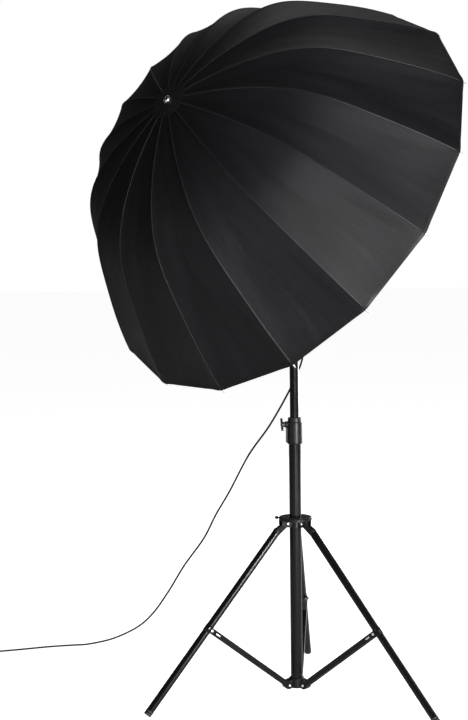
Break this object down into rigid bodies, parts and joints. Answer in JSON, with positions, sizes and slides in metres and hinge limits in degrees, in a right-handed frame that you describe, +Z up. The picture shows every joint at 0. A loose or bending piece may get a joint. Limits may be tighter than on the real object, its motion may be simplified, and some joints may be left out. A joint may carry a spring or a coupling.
{
  "type": "umbrella_reflector",
  "caption": "Deep round lighting umbrella with a silver inside, on a tilting light head and a folding three-legged stand, its shaft aimed up and away from the column",
  "frame": {"origin": "on the floor, under the middle of the stand and umbrella's box", "axes": "+Z up the column, the umbrella opens back over the column from the -X -Y side"},
  "size_m": [1.713, 1.2179, 2.1447],
  "materials": {
    "base_hub": "satin black",
    "brace": "gloss black lacquer",
    "canopy": "woven black outside, silver inside",
    "cord": "matt black",
    "crown": "black",
    "ferrule": "bright",
    "foot": "matt black",
    "knob": "satin black",
    "lamp_body": "matt black",
    "leg": "gloss black lacquer",
    "leg_collar": "satin black",
    "leg_collar_knob": "satin black",
    "lock_collar": "satin black",
    "lock_knob": "satin black",
    "lower_tube": "gloss black lacquer",
    "plug": "matt black",
    "rib": "dark resin",
    "runner": "black",
    "shaft": "bright",
    "stretcher": "bright",
    "swivel_bracket": "satin black",
    "tilt_head": "satin black",
    "upper_tube": "gloss black lacquer"
  },
  "bodies": {
    "stand": {"lower_tube": "lower_tube", "base_hub": "base_hub", "lock_collar": "lock_collar", "power_cord": "cord", "plug": "plug"},
    "lock_knob": {"lock_knob": "lock_knob"},
    "leg_slider": {"leg_collar": "leg_collar"},
    "leg_collar_knob": {"leg_collar_knob": "leg_collar_knob"},
    "riser": {"upper_tube": "upper_tube"},
    "swivel": {"swivel_bracket": "swivel_bracket"},
    "tilt_knob": {"tilt_knob": "knob"},
    "head": {"tilt_head": "tilt_head", "lamp_body": "lamp_body"},
    "shaft_knob": {"shaft_knob": "knob"},
    "umbrella": {"shaft": "shaft", "crown": "crown", "ferrule": "ferrule", "canopy": "canopy"},
    "runner": {"runner": "runner"},
    "leg_1": {"leg_1": "leg", "foot_1": "foot"},
    "brace_1": {"brace_1": "brace"},
    "leg_2": {"leg_2": "leg", "foot_2": "foot"},
    "brace_2": {"brace_2": "brace"},
    "leg_3": {"leg_3": "leg", "foot_3": "foot"},
    "brace_3": {"brace_3": "brace"},
    "rib_01": {"rib_01": "rib"},
    "stretcher_01": {"stretcher_01": "stretcher"},
    "rib_02": {"rib_02": "rib"},
    "stretcher_02": {"stretcher_02": "stretcher"},
    "rib_03": {"rib_03": "rib"},
    "stretcher_03": {"stretcher_03": "stretcher"},
    "rib_04": {"rib_04": "rib"},
    "stretcher_04": {"stretcher_04": "stretcher"},
    "rib_05": {"rib_05": "rib"},
    "stretcher_05": {"stretcher_05": "stretcher"},
    "rib_06": {"rib_06": "rib"},
    "stretcher_06": {"stretcher_06": "stretcher"},
    "rib_07": {"rib_07": "rib"},
    "stretcher_07": {"stretcher_07": "stretcher"},
    "rib_08": {"rib_08": "rib"},
    "stretcher_08": {"stretcher_08": "stretcher"},
    "rib_09": {"rib_09": "rib"},
    "stretcher_09": {"stretcher_09": "stretcher"},
    "rib_10": {"rib_10": "rib"},
    "stretcher_10": {"stretcher_10": "stretcher"},
    "rib_11": {"rib_11": "rib"},
    "stretcher_11": {"stretcher_11": "stretcher"},
    "rib_12": {"rib_12": "rib"},
    "stretcher_12": {"stretcher_12": "stretcher"},
    "rib_13": {"rib_13": "rib"},
    "stretcher_13": {"stretcher_13": "stretcher"},
    "rib_14": {"rib_14": "rib"},
    "stretcher_14": {"stretcher_14": "stretcher"},
    "rib_15": {"rib_15": "rib"},
    "stretcher_15": {"stretcher_15": "stretcher"},
    "rib_16": {"rib_16": "rib"},
    "stretcher_16": {"stretcher_16": "stretcher"}
  },
  "joints": [
    {"name": "lock_turn", "type": "hinge", "parent": "stand", "child": "lock_knob", "pos_m": [0.03279, 0.04798, 0.862], "axis": [-0.9903, -0.1392, 0], "range_deg": [0, 180]},
    {"name": "leg_fold", "type": "slide", "parent": "stand", "child": "leg_slider", "axis": [0, 0, 1], "range_m": [0, 0.2194]},
    {"name": "collar_knob_turn", "type": "hinge", "parent": "leg_slider", "child": "leg_collar_knob", "pos_m": [0.01277, 0.06561, 0.56675], "axis": [-0.9659, 0.2588, 0], "range_deg": [0, 180]},
    {"name": "rise", "type": "slide", "parent": "stand", "child": "riser", "axis": [0, 0, 1], "range_m": [-0.35, 0.3], "deforming": ["power_cord"]},
    {"name": "swivel_turn", "type": "hinge", "parent": "riser", "child": "swivel", "pos_m": [0.0628, 0.0522, 1.5], "axis": [0, 0, 1], "range_deg": [-45, 45]},
    {"name": "tilt_knob_turn", "type": "hinge", "parent": "swivel", "child": "tilt_knob", "pos_m": [0.05222, 0.06325, 1.5], "axis": [-0.6916, 0.7222, 0], "range_deg": [0, 180]},
    {"name": "tilt", "type": "hinge", "parent": "swivel", "child": "head", "pos_m": [0.0628, 0.0522, 1.5], "axis": [-0.6916, 0.7222, 0], "range_deg": [-10, 30]},
    {"name": "shaft_knob_turn", "type": "hinge", "parent": "head", "child": "shaft_knob", "pos_m": [0.07476, 0.0397, 1.533], "axis": [0.6916, -0.7222, 0], "range_deg": [0, 180]},
    {"name": "shaft_slide", "type": "slide", "parent": "head", "child": "umbrella", "axis": [-0.6148, -0.5887, 0.5249], "range_m": [0, 0.12]},
    {"name": "umbrella_fold", "type": "slide", "parent": "umbrella", "child": "runner", "axis": [0.6148, 0.5887, -0.5249], "range_m": [0, 0.1855], "deforming": ["canopy"]},
    {"name": "leg_1_hinge", "type": "hinge", "parent": "leg_slider", "child": "leg_1", "pos_m": [0.03482, 0.03885, 0.5535], "axis": [0.4305, -0.9026, 0], "range_deg": [0, 36.32]},
    {"name": "brace_1_hinge", "type": "hinge", "parent": "stand", "child": "brace_1", "pos_m": [0.03302, 0.03799, 0.042], "axis": [-0.4305, 0.9026, 0], "range_deg": [0, 47.57]},
    {"name": "leg_2_hinge", "type": "hinge", "parent": "leg_slider", "child": "leg_2", "pos_m": [0.08835, 0.03464, 0.5535], "axis": [0.5664, 0.8241, 0], "range_deg": [0, 36.32]},
    {"name": "brace_2_hinge", "type": "hinge", "parent": "stand", "child": "brace_2", "pos_m": [0.09, 0.03351, 0.042], "axis": [-0.5664, -0.8241, 0], "range_deg": [0, 47.57]},
    {"name": "leg_3_hinge", "type": "hinge", "parent": "leg_slider", "child": "leg_3", "pos_m": [0.06523, 0.0831, 0.5535], "axis": [-0.9969, 0.0785, 0], "range_deg": [0, 36.32]},
    {"name": "brace_3_hinge", "type": "hinge", "parent": "stand", "child": "brace_3", "pos_m": [0.06539, 0.0851, 0.042], "axis": [0.9969, -0.0785, 0], "range_deg": [0, 47.57]},
    {"name": "rib_01_hinge", "type": "hinge", "parent": "umbrella", "child": "rib_01", "pos_m": [-0.29821, -0.28088, 1.8204], "axis": [0.352, -0.8003, -0.4854], "range_deg": [0, 18.02]},
    {"name": "stretcher_01_hinge", "type": "hinge", "parent": "runner", "child": "stretcher_01", "pos_m": [-0.12245, -0.10743, 1.66187], "axis": [-0.352, 0.8003, 0.4854], "range_deg": [0, 12.41]},
    {"name": "rib_02_hinge", "type": "hinge", "parent": "umbrella", "child": "rib_02", "pos_m": [-0.2952, -0.28592, 1.81828], "axis": [0.5953, -0.7829, -0.1809], "range_deg": [0, 18.02]},
    {"name": "stretcher_02_hinge", "type": "hinge", "parent": "runner", "child": "stretcher_02", "pos_m": [-0.11821, -0.11452, 1.65889], "axis": [-0.5953, 0.7829, 0.1809], "range_deg": [0, 12.41]},
    {"name": "rib_03_hinge", "type": "hinge", "parent": "umbrella", "child": "rib_03", "pos_m": [-0.29092, -0.29047, 1.81819], "axis": [0.748, -0.6463, 0.1512], "range_deg": [0, 18.02]},
    {"name": "stretcher_03_hinge", "type": "hinge", "parent": "runner", "child": "stretcher_03", "pos_m": [-0.1122, -0.12091, 1.65876], "axis": [-0.748, 0.6463, -0.1512], "range_deg": [0, 12.41]},
    {"name": "rib_04_hinge", "type": "hinge", "parent": "umbrella", "child": "rib_04", "pos_m": [-0.28604, -0.29383, 1.82013], "axis": [0.7868, -0.4113, 0.4602], "range_deg": [0, 18.02]},
    {"name": "stretcher_04_hinge", "type": "hinge", "parent": "runner", "child": "stretcher_04", "pos_m": [-0.10533, -0.12565, 1.66149], "axis": [-0.7868, 0.4113, -0.4602], "range_deg": [0, 12.41]},
    {"name": "rib_05_hinge", "type": "hinge", "parent": "umbrella", "child": "rib_05", "pos_m": [-0.28129, -0.2955, 1.82382], "axis": [0.7058, -0.1137, 0.6992], "range_deg": [0, 18.02]},
    {"name": "stretcher_05_hinge", "type": "hinge", "parent": "runner", "child": "stretcher_05", "pos_m": [-0.09865, -0.128, 1.66668], "axis": [-0.7058, 0.1137, -0.6992], "range_deg": [0, 12.41]},
    {"name": "rib_06_hinge", "type": "hinge", "parent": "umbrella", "child": "rib_06", "pos_m": [-0.27739, -0.29523, 1.82869], "axis": [0.5174, 0.2012, 0.8317], "range_deg": [0, 18.02]},
    {"name": "stretcher_06_hinge", "type": "hinge", "parent": "runner", "child": "stretcher_06", "pos_m": [-0.09317, -0.1276, 1.67353], "axis": [-0.5174, -0.2012, -0.8317], "range_deg": [0, 12.41]},
    {"name": "rib_07_hinge", "type": "hinge", "parent": "umbrella", "child": "rib_07", "pos_m": [-0.27495, -0.29304, 1.83401], "axis": [0.2502, 0.4855, 0.8376], "range_deg": [0, 18.02]},
    {"name": "stretcher_07_hinge", "type": "hinge", "parent": "runner", "child": "stretcher_07", "pos_m": [-0.08974, -0.12453, 1.68101], "axis": [-0.2502, -0.4855, -0.8376], "range_deg": [0, 12.41]},
    {"name": "rib_08_hinge", "type": "hinge", "parent": "umbrella", "child": "rib_08", "pos_m": [-0.27433, -0.28928, 1.83895], "axis": [-0.0551, 0.6959, 0.716], "range_deg": [0, 18.02]},
    {"name": "stretcher_08_hinge", "type": "hinge", "parent": "runner", "child": "stretcher_08", "pos_m": [-0.08886, -0.11924, 1.68796], "axis": [0.0551, -0.6959, -0.716], "range_deg": [0, 12.41]},
    {"name": "rib_09_hinge", "type": "hinge", "parent": "umbrella", "child": "rib_09", "pos_m": [-0.27563, -0.28452, 1.84278], "axis": [-0.352, 0.8003, 0.4854], "range_deg": [0, 18.02]},
    {"name": "stretcher_09_hinge", "type": "hinge", "parent": "runner", "child": "stretcher_09", "pos_m": [-0.09068, -0.11255, 1.69334], "axis": [0.352, -0.8003, -0.4854], "range_deg": [0, 12.41]},
    {"name": "rib_10_hinge", "type": "hinge", "parent": "umbrella", "child": "rib_10", "pos_m": [-0.27864, -0.27948, 1.8449], "axis": [-0.5953, 0.7829, 0.1809], "range_deg": [0, 18.02]},
    {"name": "stretcher_10_hinge", "type": "hinge", "parent": "runner", "child": "stretcher_10", "pos_m": [-0.09492, -0.10546, 1.69632], "axis": [0.5953, -0.7829, -0.1809], "range_deg": [0, 12.41]},
    {"name": "rib_11_hinge", "type": "hinge", "parent": "umbrella", "child": "rib_11", "pos_m": [-0.28292, -0.27493, 1.84499], "axis": [-0.748, 0.6463, -0.1512], "range_deg": [0, 18.02]},
    {"name": "stretcher_11_hinge", "type": "hinge", "parent": "runner", "child": "stretcher_11", "pos_m": [-0.10094, -0.09907, 1.69645], "axis": [0.748, -0.6463, 0.1512], "range_deg": [0, 12.41]},
    {"name": "rib_12_hinge", "type": "hinge", "parent": "umbrella", "child": "rib_12", "pos_m": [-0.2878, -0.27157, 1.84305], "axis": [-0.7868, 0.4113, -0.4602], "range_deg": [0, 18.02]},
    {"name": "stretcher_12_hinge", "type": "hinge", "parent": "runner", "child": "stretcher_12", "pos_m": [-0.1078, -0.09433, 1.69371], "axis": [0.7868, -0.4113, 0.4602], "range_deg": [0, 12.41]},
    {"name": "rib_13_hinge", "type": "hinge", "parent": "umbrella", "child": "rib_13", "pos_m": [-0.29255, -0.26989, 1.83936], "axis": [-0.7058, 0.1137, -0.6992], "range_deg": [0, 18.02]},
    {"name": "stretcher_13_hinge", "type": "hinge", "parent": "runner", "child": "stretcher_13", "pos_m": [-0.11449, -0.09198, 1.68853], "axis": [0.7058, -0.1137, 0.6992], "range_deg": [0, 12.41]},
    {"name": "rib_14_hinge", "type": "hinge", "parent": "umbrella", "child": "rib_14", "pos_m": [-0.29644, -0.27017, 1.83448], "axis": [-0.5174, -0.2012, -0.8317], "range_deg": [0, 18.02]},
    {"name": "stretcher_14_hinge", "type": "hinge", "parent": "runner", "child": "stretcher_14", "pos_m": [-0.11996, -0.09237, 1.68167], "axis": [0.5174, 0.2012, 0.8317], "range_deg": [0, 12.41]},
    {"name": "rib_15_hinge", "type": "hinge", "parent": "umbrella", "child": "rib_15", "pos_m": [-0.29889, -0.27236, 1.82917], "axis": [-0.2502, -0.4855, -0.8376], "range_deg": [0, 18.02]},
    {"name": "stretcher_15_hinge", "type": "hinge", "parent": "runner", "child": "stretcher_15", "pos_m": [-0.1234, -0.09545, 1.6742], "axis": [0.2502, 0.4855, 0.8376], "range_deg": [0, 12.41]},
    {"name": "rib_16_hinge", "type": "hinge", "parent": "umbrella", "child": "rib_16", "pos_m": [-0.29951, -0.27612, 1.82422], "axis": [0.0551, -0.6959, -0.716], "range_deg": [0, 18.02]},
    {"name": "stretcher_16_hinge", "type": "hinge", "parent": "runner", "child": "stretcher_16", "pos_m": [-0.12427, -0.10074, 1.66725], "axis": [-0.0551, 0.6959, 0.716], "range_deg": [0, 12.41]}
  ],
  "couplings": [
    {"joint": "leg_1_hinge", "follows": "leg_fold", "rad_per_m": 2.8877},
    {"joint": "brace_1_hinge", "follows": "leg_fold", "rad_per_m": 3.7826},
    {"joint": "leg_2_hinge", "follows": "leg_fold", "rad_per_m": 2.8877},
    {"joint": "brace_2_hinge", "follows": "leg_fold", "rad_per_m": 3.7826},
    {"joint": "leg_3_hinge", "follows": "leg_fold", "rad_per_m": 2.8877},
    {"joint": "brace_3_hinge", "follows": "leg_fold", "rad_per_m": 3.7826},
    {"joint": "rib_01_hinge", "follows": "umbrella_fold", "rad_per_m": 1.6936},
    {"joint": "stretcher_01_hinge", "follows": "umbrella_fold", "rad_per_m": 1.1657},
    {"joint": "rib_02_hinge", "follows": "umbrella_fold", "rad_per_m": 1.6936},
    {"joint": "stretcher_02_hinge", "follows": "umbrella_fold", "rad_per_m": 1.1657},
    {"joint": "rib_03_hinge", "follows": "umbrella_fold", "rad_per_m": 1.6936},
    {"joint": "stretcher_03_hinge", "follows": "umbrella_fold", "rad_per_m": 1.1657},
    {"joint": "rib_04_hinge", "follows": "umbrella_fold", "rad_per_m": 1.6936},
    {"joint": "stretcher_04_hinge", "follows": "umbrella_fold", "rad_per_m": 1.1657},
    {"joint": "rib_05_hinge", "follows": "umbrella_fold", "rad_per_m": 1.6936},
    {"joint": "stretcher_05_hinge", "follows": "umbrella_fold", "rad_per_m": 1.1657},
    {"joint": "rib_06_hinge", "follows": "umbrella_fold", "rad_per_m": 1.6936},
    {"joint": "stretcher_06_hinge", "follows": "umbrella_fold", "rad_per_m": 1.1657},
    {"joint": "rib_07_hinge", "follows": "umbrella_fold", "rad_per_m": 1.6936},
    {"joint": "stretcher_07_hinge", "follows": "umbrella_fold", "rad_per_m": 1.1657},
    {"joint": "rib_08_hinge", "follows": "umbrella_fold", "rad_per_m": 1.6936},
    {"joint": "stretcher_08_hinge", "follows": "umbrella_fold", "rad_per_m": 1.1657},
    {"joint": "rib_09_hinge", "follows": "umbrella_fold", "rad_per_m": 1.6936},
    {"joint": "stretcher_09_hinge", "follows": "umbrella_fold", "rad_per_m": 1.1657},
    {"joint": "rib_10_hinge", "follows": "umbrella_fold", "rad_per_m": 1.6936},
    {"joint": "stretcher_10_hinge", "follows": "umbrella_fold", "rad_per_m": 1.1657},
    {"joint": "rib_11_hinge", "follows": "umbrella_fold", "rad_per_m": 1.6936},
    {"joint": "stretcher_11_hinge", "follows": "umbrella_fold", "rad_per_m": 1.1657},
    {"joint": "rib_12_hinge", "follows": "umbrella_fold", "rad_per_m": 1.6936},
    {"joint": "stretcher_12_hinge", "follows": "umbrella_fold", "rad_per_m": 1.1657},
    {"joint": "rib_13_hinge", "follows": "umbrella_fold", "rad_per_m": 1.6936},
    {"joint": "stretcher_13_hinge", "follows": "umbrella_fold", "rad_per_m": 1.1657},
    {"joint": "rib_14_hinge", "follows": "umbrella_fold", "rad_per_m": 1.6936},
    {"joint": "stretcher_14_hinge", "follows": "umbrella_fold", "rad_per_m": 1.1657},
    {"joint": "rib_15_hinge", "follows": "umbrella_fold", "rad_per_m": 1.6936},
    {"joint": "stretcher_15_hinge", "follows": "umbrella_fold", "rad_per_m": 1.1657},
    {"joint": "rib_16_hinge", "follows": "umbrella_fold", "rad_per_m": 1.6936},
    {"joint": "stretcher_16_hinge", "follows": "umbrella_fold", "rad_per_m": 1.1657}
  ]
}
